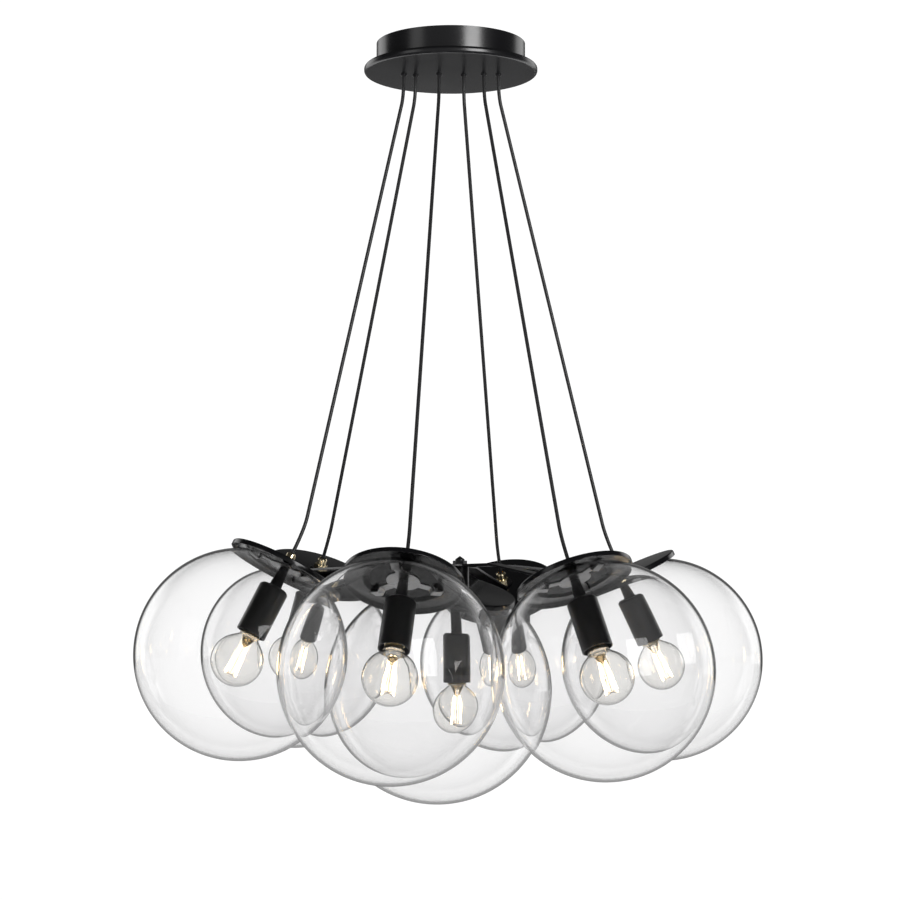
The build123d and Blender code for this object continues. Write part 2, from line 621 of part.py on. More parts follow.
for number, lamp in enumerate(lamp_frames, start=1):
    outer_shoulder, outer_neck = ball_to_neck(BULB_RADIUS, BULB_NECK_RADIUS)
    inner_radius = BULB_RADIUS - BULB_WALL
    inner_shoulder, inner_neck = ball_to_neck(inner_radius, BULB_NECK_RADIUS - BULB_WALL)
    with BuildPart() as bulb_glass:
        with BuildSketch(profile_plane(lamp)):
            with BuildLine():
                ThreePointArc((0, -BULB_RADIUS), (BULB_RADIUS, 0), outer_shoulder)
                Polyline(outer_shoulder, outer_neck, (BULB_NECK_RADIUS, BULB_NECK_HIGH),
                         (BULB_NECK_RADIUS - BULB_WALL, BULB_NECK_HIGH), inner_neck, inner_shoulder)
                ThreePointArc(inner_shoulder, (inner_radius, 0), (0, -inner_radius))
                Line((0, -inner_radius), (0, -BULB_RADIUS))
            make_face()
        revolve(axis=spin_axis(lamp))
    keep(bulb_glass.part, f"bulb_glass_{number}")

    skirt_inner = BULB_NECK_RADIUS + CAP_FIT
    with BuildPart() as bulb_cap:
        with BuildSketch(profile_plane(lamp)):
            with BuildLine():
                Polyline(
                    (skirt_inner, CAP_SKIRT_LOW),
                    (skirt_inner + CAP_WALL, CAP_SKIRT_LOW),
                    (skirt_inner + CAP_WALL, CAP_SKIRT_HIGH),
                    (CAP_RADIUS, CAP_FLARE_HIGH),
                    (CAP_RADIUS, CAP_THREAD_HIGH),
                    (CAP_INSULATOR_RADIUS, CAP_THREAD_HIGH + CAP_INSULATOR),
                    (CAP_CONTACT_RADIUS, CAP_HIGH - CAP_WALL),
                    (CAP_CONTACT_RADIUS, CAP_HIGH),
                    (0, CAP_HIGH),
                    (0, CAP_THREAD_HIGH - CAP_WALL),
                    (CAP_RADIUS - CAP_WALL, CAP_THREAD_HIGH - CAP_WALL),
                    (CAP_RADIUS - CAP_WALL, CAP_FLARE_HIGH),
                    (skirt_inner, CAP_SKIRT_HIGH),
                    close=True,
                )
            make_face()
        revolve(axis=spin_axis(lamp))
    keep(bulb_cap.part, f"bulb_cap_{number}")

    flare_radius = BULB_NECK_RADIUS - BULB_WALL - CAP_FIT
    with BuildPart() as bulb_filaments:
        with BuildSketch(profile_plane(lamp)):
            with BuildLine():
                Polyline(
                    (0, BULB_NECK_HIGH),
                    (flare_radius, BULB_NECK_HIGH),
                    (flare_radius, BULB_NECK_HIGH - BULB_WALL),
                    (PRESS_RADIUS, PRESS_HIGH),
                    (ROD_RADIUS, PRESS_HIGH - PRESS_RADIUS),
                    (ROD_RADIUS, ROD_LOW),
                    (0, ROD_LOW),
                    close=True,
                )
            make_face()
        revolve(axis=spin_axis(lamp))
        for height, reach in ((FILAMENT_TOP, FILAMENT_TOP_CIRCLE), (ROD_LOW, FILAMENT_LOW_CIRCLE)):
            with BuildSketch(lamp.offset(height - SPOKE / 2)):
                Rectangle(2 * (reach + SPOKE), SPOKE)
                Rectangle(SPOKE, 2 * (reach + SPOKE))
            extrude(amount=SPOKE)
        for filament in range(FILAMENTS):
            turn = radians(filament * 360 / FILAMENTS)
            radial = lamp.x_dir * cos(turn) + lamp.y_dir * sin(turn)
            low = lamp.origin + radial * FILAMENT_LOW_CIRCLE + lamp.z_dir * ROD_LOW
            high = lamp.origin + radial * FILAMENT_TOP_CIRCLE + lamp.z_dir * FILAMENT_TOP
            with BuildSketch(Plane(origin=low, z_dir=high - low)):
                Circle(FILAMENT_RADIUS)
            extrude(amount=(high - low).length)
    keep(bulb_filaments.part, f"bulb_filaments_{number}")

# ---- cords: plumb under the outlet, straight to the lid, then in line with the nipple -------------

upwards = Vector(0, 0, 1)
for number, (pivot, frame) in enumerate(zip(exit_points, ring_frames), start=1):
    top = pivot + upwards * CORD_TOP
    elbow = pivot - upwards * CORD_DROP
    end = frame.origin + frame.z_dir * (COLLAR_TOP - CORD_IN_BELL)
    bend = end + frame.z_dir * CORD_STRAIGHT_END
    run = elbow - bend
    high_turn = radians(run.get_angle(upwards))
    low_turn = radians(run.get_angle(frame.z_dir))
    arc_radii = [ARC_SHARE * (CORD_TOP + CORD_DROP) / tan(high_turn / 2),
                 ARC_SHARE * CORD_STRAIGHT_END / tan(low_turn / 2)]
    with BuildPart() as cord:
        with BuildLine():
            route = FilletPolyline(top, elbow, bend, end, radius=arc_radii)
        with BuildSketch(Plane(origin=top, z_dir=elbow - top)):
            Circle(CORD_RADIUS)
        sweep(path=route)
    expected = pi * CORD_RADIUS**2 * route.length
    print(f"cord_{number}: arc radii {arc_radii[0]:.1f} and {arc_radii[1]:.1f} mm,",
          f"length {route.length:.1f} mm, volume {cord.part.volume / expected:.4f} of the tube's")
    keep(cord.part, f"cord_{number}")
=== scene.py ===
"""Cluster pendant light: seven clear glass globes under black lids, hung on six cords from a black canopy.

Metres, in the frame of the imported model: +Z up, the origin on the ceiling, the front facing -Y.
"""

import json
from math import cos, pi, radians, sin, sqrt, tan

import bmesh
import bpy
import numpy as np
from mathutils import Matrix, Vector


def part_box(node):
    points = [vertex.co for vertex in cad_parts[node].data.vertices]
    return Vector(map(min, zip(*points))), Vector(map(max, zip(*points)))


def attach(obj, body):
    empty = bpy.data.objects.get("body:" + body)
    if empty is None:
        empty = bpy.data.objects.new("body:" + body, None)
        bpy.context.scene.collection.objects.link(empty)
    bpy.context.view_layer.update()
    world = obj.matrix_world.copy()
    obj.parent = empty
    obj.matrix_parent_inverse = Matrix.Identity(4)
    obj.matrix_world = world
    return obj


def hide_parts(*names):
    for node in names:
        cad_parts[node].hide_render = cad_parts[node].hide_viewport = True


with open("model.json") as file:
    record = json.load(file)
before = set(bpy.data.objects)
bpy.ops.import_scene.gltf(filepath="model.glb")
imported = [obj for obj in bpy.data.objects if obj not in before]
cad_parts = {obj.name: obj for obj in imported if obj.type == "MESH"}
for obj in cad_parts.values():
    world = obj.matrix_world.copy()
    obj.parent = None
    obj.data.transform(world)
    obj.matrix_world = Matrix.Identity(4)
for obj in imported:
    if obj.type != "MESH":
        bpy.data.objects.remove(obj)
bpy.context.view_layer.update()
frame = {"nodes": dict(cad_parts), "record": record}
hinges = {joint["name"]: joint for joint in frame["record"]["behaviour"]["joints"]}

# ---- camera, floor and light -------------------------------------------------------------------
# The light is seen from two metres away, at about the height of its lids, against a white studio wall.
# Straight or through glass the studio is white. What shines in lacquer and glass is a dim studio with
# a bright band behind the light, which draws the edges of the clear glass.

CAMERA_PLACE = (0.0, -2.024, -0.5264)
CAMERA_PITCH = radians(4.58)
CAMERA_LENS = 92.0
CAMERA_SHIFT = -0.0009
FLOOR_HEIGHT = -2.6
FLOOR_HALF = 40.0
WALL_LIGHT = 1.07
LOW_LIGHT = 0.08
HIGH_LIGHT = 0.035
STUDIO_RING = (             # the dim studio's light, from in front of the pendant (0) to behind it (1)
    (0.07, 0.16), (0.45, 0.0), (0.70, 0.0), (0.78, 1.3), (0.90, 1.3), (0.95, 0.06), (1.0, 0.15))
STUDIO_TOP = (0.3, 0.6)     # heights of view between which that ring fades out
HORIZON = (-0.2, 0.1)       # and between which the low light gives way to the high one
MIRRORED_ONCE = 0.5         # a ray with a glossy depth above this has been mirrored
FLOOR_GLOW = 1.04
FLOOR_MIRRORED = 0.5
SHARP_ANGLE = radians(38)

camera = bpy.data.objects.new("camera", bpy.data.cameras.new("camera"))
camera.data.lens = CAMERA_LENS
camera.data.sensor_width = 36.0
camera.data.shift_x = CAMERA_SHIFT
camera.location = CAMERA_PLACE
camera.rotation_euler = (pi / 2 + CAMERA_PITCH, 0.0, 0.0)
bpy.context.collection.objects.link(camera)
scene = bpy.context.scene
scene.camera = camera
scene.view_settings.view_transform = "Standard"
scene.cycles.max_bounces = 40
scene.cycles.transmission_bounces = 40
scene.cycles.glossy_bounces = 12
scene.cycles.transparent_max_bounces = 40
scene.cycles.caustics_reflective = False
scene.cycles.caustics_refractive = False


def new_material(name):
    """A node material with its Principled shader, as (material, nodes, links, shader)."""
    material = bpy.data.materials.new(name)
    material.use_nodes = True
    nodes, links = material.node_tree.nodes, material.node_tree.links
    return material, nodes, links, nodes["Principled BSDF"]


def linked_mesh(name, vertices, faces):
    """A smooth shaded object from vertex and face arrays, with creases where faces meet sharply."""
    mesh = bpy.data.meshes.new(name)
    mesh.from_pydata(vertices, [], faces)
    mesh.validate()
    mesh.polygons.foreach_set("use_smooth", np.ones(len(mesh.polygons), bool))
    mesh.set_sharp_from_angle(angle=SHARP_ANGLE)
    piece = bpy.data.objects.new(name, mesh)
    bpy.context.collection.objects.link(piece)
    return piece


corner = np.array([[-1, -1, 0], [1, -1, 0], [1, 1, 0], [-1, 1, 0]], float) * FLOOR_HALF
floor = linked_mesh("floor", corner + [0, 0, FLOOR_HEIGHT], [(0, 1, 2, 3)])
floor_paint, nodes, links, shader = new_material("white_studio_floor")
shader.inputs["Base Color"].default_value = (0.06, 0.06, 0.06, 1)
shader.inputs["Roughness"].default_value = 0.9
shader.inputs["Specular IOR Level"].default_value = 0.0
shader.inputs["Emission Color"].default_value = (1, 1, 1, 1)
sight = nodes.new("ShaderNodeLightPath")
mirrored = nodes.new("ShaderNodeMath")
mirrored.operation = "GREATER_THAN"
mirrored.inputs[1].default_value = MIRRORED_ONCE
floor_glow = nodes.new("ShaderNodeMix")
floor_glow.inputs["A"].default_value = FLOOR_GLOW
floor_glow.inputs["B"].default_value = FLOOR_MIRRORED
links.new(sight.outputs["Glossy Depth"], mirrored.inputs[0])
links.new(mirrored.outputs[0], floor_glow.inputs["Factor"])
links.new(floor_glow.outputs["Result"], shader.inputs["Emission Strength"])
floor.data.materials.append(floor_paint)
floor.visible_glossy = False

# the dim studio: a ring of light that changes from front to back, over a faint low and high light
world = bpy.data.worlds.new("studio")
world.use_nodes = True
scene.world = world
nodes, links = world.node_tree.nodes, world.node_tree.links
direction = nodes.new("ShaderNodeTexCoord")
split = nodes.new("ShaderNodeSeparateXYZ")
links.new(direction.outputs["Generated"], split.inputs[0])
depth = nodes.new("ShaderNodeMapRange")
depth.inputs["From Min"].default_value = -1.0
depth.inputs["From Max"].default_value = 1.0
ring = nodes.new("ShaderNodeValToRGB")
ring.color_ramp.interpolation = "EASE"
ring_start, ring_end = ring.color_ramp.elements
ring_start.position, ring_start.color = STUDIO_RING[0][0], (*[STUDIO_RING[0][1]] * 3, 1)
ring_end.position, ring_end.color = STUDIO_RING[-1][0], (*[STUDIO_RING[-1][1]] * 3, 1)
for position, strength in STUDIO_RING[1:-1]:
    ring.color_ramp.elements.new(position).color = (strength, strength, strength, 1)
level = nodes.new("ShaderNodeMapRange")
level.interpolation_type = "SMOOTHSTEP"
level.inputs["From Min"].default_value, level.inputs["From Max"].default_value = STUDIO_TOP
level.inputs["To Min"].default_value = 1.0
level.inputs["To Max"].default_value = 0.0
ramp = nodes.new("ShaderNodeMath")
ramp.operation = "MULTIPLY"
links.new(split.outputs["Y"], depth.inputs["Value"])
links.new(depth.outputs[0], ring.inputs["Fac"])
links.new(split.outputs["Z"], level.inputs["Value"])
links.new(ring.outputs["Color"], ramp.inputs[0])
links.new(level.outputs[0], ramp.inputs[1])
above = nodes.new("ShaderNodeMapRange")
above.interpolation_type = "SMOOTHSTEP"
above.inputs["From Min"].default_value, above.inputs["From Max"].default_value = HORIZON
above.inputs["To Min"].default_value = LOW_LIGHT
above.inputs["To Max"].default_value = HIGH_LIGHT
links.new(split.outputs["Z"], above.inputs["Value"])
total = nodes.new("ShaderNodeMath")
total.operation = "MAXIMUM"
links.new(ramp.outputs[0], total.inputs[0])
links.new(above.outputs[0], total.inputs[1])

# the white wall, for what is seen straight or through glass that hasn't mirrored it
sight = nodes.new("ShaderNodeLightPath")
unmirrored = nodes.new("ShaderNodeMath")
unmirrored.operation = "LESS_THAN"
unmirrored.inputs[1].default_value = MIRRORED_ONCE
links.new(sight.outputs["Glossy Depth"], unmirrored.inputs[0])
refracted = nodes.new("ShaderNodeMath")
refracted.operation = "MULTIPLY"
links.new(sight.outputs["Is Transmission Ray"], refracted.inputs[0])
links.new(unmirrored.outputs[0], refracted.inputs[1])
straight = nodes.new("ShaderNodeMath")
straight.operation = "MAXIMUM"
links.new(sight.outputs["Is Camera Ray"], straight.inputs[0])
links.new(refracted.outputs[0], straight.inputs[1])
seen = nodes.new("ShaderNodeMix")
seen.inputs["B"].default_value = WALL_LIGHT
links.new(straight.outputs[0], seen.inputs["Factor"])
links.new(total.outputs[0], seen.inputs["A"])
links.new(seen.outputs["Result"], nodes["Background"].inputs["Strength"])
nodes["Background"].inputs["Color"].default_value = (1.0, 1.0, 1.0, 1)


def softbox(name, place, target, width, height, watts):
    """A rectangular studio light at place, facing target."""
    lamp = bpy.data.objects.new(name, bpy.data.lights.new(name, "AREA"))
    lamp.data.shape = "RECTANGLE"
    lamp.data.size, lamp.data.size_y = width, height
    lamp.data.energy = watts
    lamp.location = place
    lamp.rotation_euler = (Vector(target) - Vector(place)).to_track_quat("-Z", "Y").to_euler()
    lamp.visible_transmission = False
    bpy.context.collection.objects.link(lamp)


softbox("key_light", place=(1.5, -2.3, 0.1), target=(0, 0, -0.4), width=1.1, height=1.7, watts=40)
softbox("left_light", place=(-2.3, -1.7, 0.2), target=(0, 0, -0.5), width=1.0, height=1.8, watts=4)

# ---- cords -------------------------------------------------------------------------------------
# Six round black sheathed cords. Each hangs plumb for a finger's breadth under its outlet, runs
# straight to its lid, and turns there into line with the nipple that it goes into.

CORD_RADIUS = 0.0016
CORD_TOP = 0.0015           # above the point in the outlet that the cord swings about
CORD_DROP = 0.018           # below that point
CORD_END = 0.09304          # above the globe's centre, along the lamp's axis
CORD_STRAIGHT_END = 0.026
GLOBE_ABOVE_BULB = 0.006


def lamp_axis(number):
    """The bulb's centre and the direction up its lamp, from the joint that the bulb turns on."""
    hinge = hinges[f"bulb_{number}_turn"]
    return np.array(hinge["pos_m"]), -np.array(hinge["axis"])


sheath, nodes, links, shader = new_material("black_cord_sheath")
place = nodes.new("ShaderNodeTexCoord")
grain = nodes.new("ShaderNodeTexNoise")
grain.inputs["Scale"].default_value = 900
grain.inputs["Detail"].default_value = 4
bump = nodes.new("ShaderNodeBump")
bump.inputs["Strength"].default_value = 0.25
bump.inputs["Distance"].default_value = 0.0002
shade = nodes.new("ShaderNodeValToRGB")
shade.color_ramp.elements[0].color = (0.016, 0.016, 0.017, 1)
shade.color_ramp.elements[1].color = (0.030, 0.030, 0.031, 1)
links.new(place.outputs["Object"], grain.inputs["Vector"])
links.new(grain.outputs["Fac"], shade.inputs["Fac"])
links.new(shade.outputs["Color"], shader.inputs["Base Color"])
links.new(grain.outputs["Fac"], bump.inputs["Height"])
links.new(bump.outputs["Normal"], shader.inputs["Normal"])
shader.inputs["Roughness"].default_value = 0.36

for number in range(1, 7):
    centre, up = lamp_axis(number)
    outlet = np.array(hinges[f"cord_{number}_sway"]["pos_m"])
    end = centre + up * (GLOBE_ABOVE_BULB + CORD_END)
    bend = end + up * CORD_STRAIGHT_END
    top = outlet + np.array([0, 0, CORD_TOP])
    elbow = outlet - np.array([0, 0, CORD_DROP])
    reach = float(np.linalg.norm(elbow - bend))
    run = (elbow - bend) / reach
    below_elbow = elbow - run * (CORD_TOP + CORD_DROP)
    above_bend = bend + run * CORD_STRAIGHT_END
    route = (top, elbow, below_elbow, above_bend, bend, end)
    curve = bpy.data.curves.new(f"hanging_cord_{number}", "CURVE")
    curve.dimensions = "3D"
    spline = curve.splines.new("NURBS")
    spline.points.add(len(route) - 1)
    for point, control in zip(spline.points, route):
        point.co = (*control, 1.0)
    spline.order_u = 3
    spline.use_endpoint_u = True
    spline.resolution_u = 16
    curve.bevel_depth = CORD_RADIUS
    curve.bevel_resolution = 5
    curve.use_fill_caps = True
    cord = bpy.data.objects.new(f"hanging_cord_{number}", curve)
    bpy.context.collection.objects.link(cord)
    curve.materials.append(sheath)
    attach(cord, f"cord_{number}")
    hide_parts(f"cord_{number}")

# ---- canopy ------------------------------------------------------------------------------------
# A drum spun from steel sheet on a wider turned plate, both lacquered black, with two grub screws
# through the drum into the ceiling plate inside it, which also carries the terminal block.

EDGE_SOFTNESS = 0.0004
MERGE_DISTANCE = 1e-6
FLAT_ANGLE = radians(0.4)
CREASE_ANGLE = radians(30)
ROUNDED_ANGLE = radians(40)


def smooth_surface(name, tint, roughness, ripple):
    """Lacquer or moulded plastic: a slow unevenness in its gloss, and a fine orange-peel bump."""
    material, nodes, links, shader = new_material(name)
    place = nodes.new("ShaderNodeTexCoord")
    peel = nodes.new("ShaderNodeTexNoise")
    peel.inputs["Scale"].default_value = 420
    peel.inputs["Detail"].default_value = 2
    cloud = nodes.new("ShaderNodeTexNoise")
    cloud.inputs["Scale"].default_value = 35
    cloud.inputs["Detail"].default_value = 5
    gloss = nodes.new("ShaderNodeMapRange")
    gloss.inputs["To Min"].default_value = roughness * 0.75
    gloss.inputs["To Max"].default_value = roughness * 1.3
    bump = nodes.new("ShaderNodeBump")
    bump.inputs["Strength"].default_value = ripple
    bump.inputs["Distance"].default_value = 0.0002
    links.new(place.outputs["Object"], peel.inputs["Vector"])
    links.new(place.outputs["Object"], cloud.inputs["Vector"])
    links.new(cloud.outputs["Fac"], gloss.inputs["Value"])
    links.new(gloss.outputs["Result"], shader.inputs["Roughness"])
    links.new(peel.outputs["Fac"], bump.inputs["Height"])
    links.new(bump.outputs["Normal"], shader.inputs["Normal"])
    shader.inputs["Base Color"].default_value = (*tint, 1)
    return material


def softened(node, name, body, material, softness=EDGE_SOFTNESS):
    """The CAD node's own shape as one merged mesh, smooth shaded, with its edges slightly rounded."""
    mesh = frame["nodes"][node].data.copy()
    mesh.name = name
    work = bmesh.new()
    work.from_mesh(mesh)
    bmesh.ops.remove_doubles(work, verts=work.verts, dist=MERGE_DISTANCE)
    bmesh.ops.dissolve_limit(work, angle_limit=FLAT_ANGLE, verts=work.verts, edges=work.edges)
    work.to_mesh(mesh)
    work.free()
    mesh.polygons.foreach_set("use_smooth", np.ones(len(mesh.polygons), bool))
    mesh.set_sharp_from_angle(angle=CREASE_ANGLE)
    mesh.materials.clear()
    mesh.materials.append(material)
    piece = bpy.data.objects.new(name, mesh)
    bpy.context.collection.objects.link(piece)
    if softness:
        rounding = piece.modifiers.new("rounded_edges", "BEVEL")
        rounding.width = softness
        rounding.segments = 2
        rounding.limit_method = "ANGLE"
        rounding.angle_limit = ROUNDED_ANGLE
        rounding.harden_normals = True
    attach(piece, body)
    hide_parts(node)
    return piece


canopy_lacquer = smooth_surface(
    "satin_black_lacquer", tint=(0.006, 0.006, 0.007), roughness=0.23, ripple=0.04)
canopy_lacquer.node_tree.nodes["Principled BSDF"].inputs["Specular IOR Level"].default_value = 0.9
softened("canopy_cup", "canopy_drum", "canopy", canopy_lacquer)
softened("canopy_plate", "canopy_foot_plate", "canopy", canopy_lacquer, softness=0.0)


def worn_metal(name, tint, roughness):
    """Bare or plated metal with fine brushing and patches that are duller."""
    material, nodes, links, shader = new_material(name)
    place = nodes.new("ShaderNodeTexCoord")
    stretch = nodes.new("ShaderNodeMapping")
    stretch.inputs["Scale"].default_value = (60, 60, 1400)
    brushing = nodes.new("ShaderNodeTexNoise")
    brushing.inputs["Scale"].default_value = 1.0
    brushing.inputs["Detail"].default_value = 3
    dull = nodes.new("ShaderNodeMapRange")
    dull.inputs["To Min"].default_value = roughness * 0.7
    dull.inputs["To Max"].default_value = roughness * 1.5
    links.new(place.outputs["Object"], stretch.inputs["Vector"])
    links.new(stretch.outputs["Vector"], brushing.inputs["Vector"])
    links.new(brushing.outputs["Fac"], dull.inputs["Value"])
    links.new(dull.outputs["Result"], shader.inputs["Roughness"])
    shader.inputs["Base Color"].default_value = (*tint, 1)
    shader.inputs["Metallic"].default_value = 1.0
    return material


def finish_node(node, material):
    """Give a CAD node that stays in view its material."""
    mesh = frame["nodes"][node].data
    mesh.materials.clear()
    mesh.materials.append(material)


plated = worn_metal("zinc_plated_sheet", tint=(0.55, 0.56, 0.58), roughness=0.32)
finish_node("ceiling_plate", plated)
finish_node("cup_screws", canopy_lacquer)
nylon = smooth_surface("white_nylon", tint=(0.78, 0.77, 0.73), roughness=0.45, ripple=0.1)
finish_node("terminal_block", nylon)

# ---- cord outlets ------------------------------------------------------------------------------
# Six small moulded black bushes in a row across the canopy's plate, each held by a nut inside the
# canopy. A cord comes out of each.

outlet_plastic = smooth_surface("black_moulding", tint=(0.013, 0.013, 0.014), roughness=0.34, ripple=0.1)
softened("cord_outlets", "outlet_bushes", "canopy", outlet_plastic, softness=0.0)

# ---- star bracket ------------------------------------------------------------------------------
# One piece of black sheet steel that holds the lids together: a round hub and six arms, each bent
# up into line with its lid.

satin_sheet = smooth_surface("satin_black_sheet", tint=(0.010, 0.010, 0.011), roughness=0.30, ripple=0.12)
softened("star_bracket", "star_sheet", "cluster", satin_sheet, softness=0.0003)

# ---- nipples -----------------------------------------------------------------------------------
# A brass tube through each lid and bracket eye, with a hexagon nut and a collar that takes the cord.
# The middle one is blackened and closed by a dome, with a spacer between its lid and the hub.

MIDDLE_NIPPLE_REACH = 0.020

brass = worn_metal("turned_brass", tint=(0.86, 0.74, 0.50), roughness=0.16)
nipples = softened("cord_nipples", "brass_nipples", "cluster", brass, softness=0.0002)
nipples.data.materials.append(satin_sheet)
face_centres = np.zeros(3 * len(nipples.data.polygons))
nipples.data.polygons.foreach_get("center", face_centres)
aside = face_centres.reshape(-1, 3)[:, :2] - lamp_axis(7)[0][:2]
blackened = (np.hypot(aside[:, 0], aside[:, 1]) < MIDDLE_NIPPLE_REACH).astype(np.int32)
nipples.data.polygons.foreach_set("material_index", blackened)

# ---- lids --------------------------------------------------------------------------------------
# Discs spun from steel sheet with a small turned-down rim, lacquered glossy black on both sides.
# Each leans inwards with its lamp and rests on the mouth of its globe.

LID_RADIUS = 0.050
LID_SHEET = 0.0015
LID_RIM = 0.0045
LID_RIM_WALL = 0.0012
LID_BORE = 0.0030
MIDDLE_LID_BORE = 0.0037
MOUTH_RADIUS = 0.034
GLASS_RADIUS = 0.090
MIDDLE_GLASS_RADIUS = 0.100
ROUND_STEPS = 6
LID_SEGMENTS = 128
ON_AXIS = 1e-9              # a radius under this is on the axis
STRAIGHT = 1e-3             # a corner that turns by less than twice this, in radians, stays as it is

lacquer = smooth_surface("gloss_black_lacquer", tint=(0.006, 0.006, 0.007), roughness=0.16, ripple=0.04)


def rounded(points, radii):
    """Outline in (radius, height) with each corner turned by an arc of its own radius.

    An arc starts and ends on the two sides at radius times the tangent of half the turn."""
    points = np.array(points, float)
    outline = []
    for index, (point, radius) in enumerate(zip(points, radii)):
        back = points[index - 1] - point
        ahead = points[(index + 1) % len(points)] - point
        back, ahead = back / np.hypot(*back), ahead / np.hypot(*ahead)
        half = np.arccos(np.clip(back @ ahead, -1, 1)) / 2
        if radius == 0 or half > pi / 2 - STRAIGHT:
            outline.append(point)
            continue
        middle = (back + ahead) / np.hypot(*(back + ahead))
        centre = point + middle * radius / sin(half)
        first, last = point + back * radius / tan(half), point + ahead * radius / tan(half)
        turn = np.linspace(0, 1, ROUND_STEPS + 1)[:, None]
        chord = (first - centre) * (1 - turn) + (last - centre) * turn
        outline.extend(centre + chord / np.linalg.norm(chord, axis=1)[:, None] * radius)
    return np.array(outline)


def arc(radius, start, stop, steps):
    """Points on a circle round the origin, from start to stop degrees from the height axis."""
    turn = np.radians(np.linspace(start, stop, steps + 1))
    return np.stack([radius * np.sin(turn), radius * np.cos(turn)], 1)


def turned(outline, origin, axis, segments, ridge=None):
    """A closed (radius, height) outline carried round an axis, as vertices and faces.

    A vertex stands at origin + axis * height + radius * (side * cos(turn) + front * sin(turn)).
    Points on the axis become one vertex, and ridge(height, turn) may add to the radius."""
    outline = np.array(outline, float)
    step = np.roll(outline, -1, 0)
    if (outline[:, 0] * step[:, 1] - step[:, 0] * outline[:, 1]).sum() < 0:
        outline = outline[::-1]
    axis = np.array(axis) / np.linalg.norm(axis)
    side = np.cross(axis, [0.0, 1.0, 0.0] if abs(axis[1]) < 0.9 else [1.0, 0.0, 0.0])
    side /= np.linalg.norm(side)
    front = np.cross(axis, side)
    turn = np.arange(segments) * 2 * pi / segments
    poles = outline[:, 0] < ON_AXIS
    radius = np.repeat(outline[:, :1], segments, 1)
    if ridge is not None:
        radius = radius + ridge(outline[:, 1:], turn[None, :]) * ~poles[:, None]
    spoke = np.cos(turn)[:, None] * side + np.sin(turn)[:, None] * front
    vertices = origin + outline[:, 1, None, None] * axis + radius[:, :, None] * spoke[None]
    index = np.arange(len(outline) * segments).reshape(len(outline), segments)
    index[poles] = index[poles][:, :1]
    ahead = np.roll(index, -1, 0)
    quads = np.stack([index, np.roll(index, -1, 1), np.roll(ahead, -1, 1), ahead], 2)
    faces = quads[~(poles & np.roll(poles, -1))].reshape(-1, 4)
    corners = [list(dict.fromkeys(face)) for face in faces.tolist()]
    return vertices.reshape(-1, 3), [face for face in corners if len(face) > 2]


def placed(name, pieces, body, material, nodes_replaced):
    """One object from several (vertices, faces) shapes, riding on body in place of its CAD nodes."""
    count = 0
    vertices, faces = [], []
    for shape, corners in pieces:
        vertices.append(shape)
        faces += [[count + corner for corner in face] for face in corners]
        count += len(shape)
    piece = linked_mesh(name, np.concatenate(vertices), faces)
    work = bmesh.new()
    work.from_mesh(piece.data)
    bmesh.ops.delete(work, geom=[v for v in work.verts if not v.link_faces], context="VERTS")
    work.to_mesh(piece.data)
    work.free()
    piece.data.materials.append(material)
    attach(piece, body)
    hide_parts(*nodes_replaced)
    return piece


def globe_axis(number):
    """Centre, upward axis and radius of globe number, the seventh being the middle one."""
    if number < 7:
        bulb, up = lamp_axis(number)
        return bulb + up * GLOBE_ABOVE_BULB, up, GLASS_RADIUS
    low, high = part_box("globe_7")
    centre = np.array([(low.x + high.x) / 2, (low.y + high.y) / 2, low.z + MIDDLE_GLASS_RADIUS])
    reach = sqrt(MIDDLE_GLASS_RADIUS**2 - MOUTH_RADIUS**2) + LID_SHEET / 2
    aside = lamp_axis(number)[0][:2] - centre[:2]
    axis = np.array([*aside, sqrt(reach**2 - aside @ aside)])
    return centre, axis / np.linalg.norm(axis), MIDDLE_GLASS_RADIUS


for number in range(1, 8):
    centre, up, radius = globe_axis(number)
    bore = LID_BORE if number < 7 else MIDDLE_LID_BORE
    mouth = sqrt(radius**2 - MOUTH_RADIUS**2)
    top = mouth + LID_SHEET
    inner = LID_RADIUS - LID_RIM_WALL
    corners = ((bore, mouth), (inner, mouth), (inner, top - LID_RIM), (LID_RADIUS, top - LID_RIM),
               (LID_RADIUS, top), (bore, top))
    radii = (0, 0.0006, 0.0004, 0.0004, 0.0013, 0)
    placed(f"black_lid_{number}", [turned(rounded(corners, radii), centre, up, LID_SEGMENTS)],
           "cluster", lacquer, [f"lid_{number}"])

# ---- glass globes ------------------------------------------------------------------------------
# Blown clear glass, two millimetres thick, with the mouth ground flat where the lid sits on it.
# The middle globe is the largest.

GLASS_WALL = 0.0020
GLASS_STEPS = 110           # from the mouth to the lowest point


def clear_glass(name, tint, index):
    """Clear smooth glass."""
    material, nodes, links, shader = new_material(name)
    shader.inputs["Base Color"].default_value = (*tint, 1)
    shader.inputs["Roughness"].default_value = 0.0
    shader.inputs["IOR"].default_value = index
    shader.inputs["Transmission Weight"].default_value = 1.0
    return material


globe_glass = clear_glass("blown_clear_glass", tint=(0.993, 0.992, 0.993), index=1.40)
for number in range(1, 8):
    centre, up, radius = globe_axis(number)
    inner = radius - GLASS_WALL
    mouth = sqrt(radius**2 - MOUTH_RADIUS**2)
    outer_start = np.degrees(np.arcsin(MOUTH_RADIUS / radius))
    inner_start = np.degrees(np.arccos(mouth / inner))
    outline = np.concatenate([arc(radius, outer_start, 180, GLASS_STEPS),
                              arc(inner, 180, inner_start, GLASS_STEPS)])
    placed(f"clear_globe_{number}", [turned(outline, centre, up, 2 * GLASS_STEPS)],
           "cluster", globe_glass, [f"globe_{number}"])

# ---- spring clips ------------------------------------------------------------------------------
# Sprung steel plates under the lids, whose three fingers hook under the mouth of the glass and
# hold it up against its lid.

spring = worn_metal("spring_steel", tint=(0.50, 0.50, 0.50), roughness=0.28)
finish_node("globe_clips", spring)

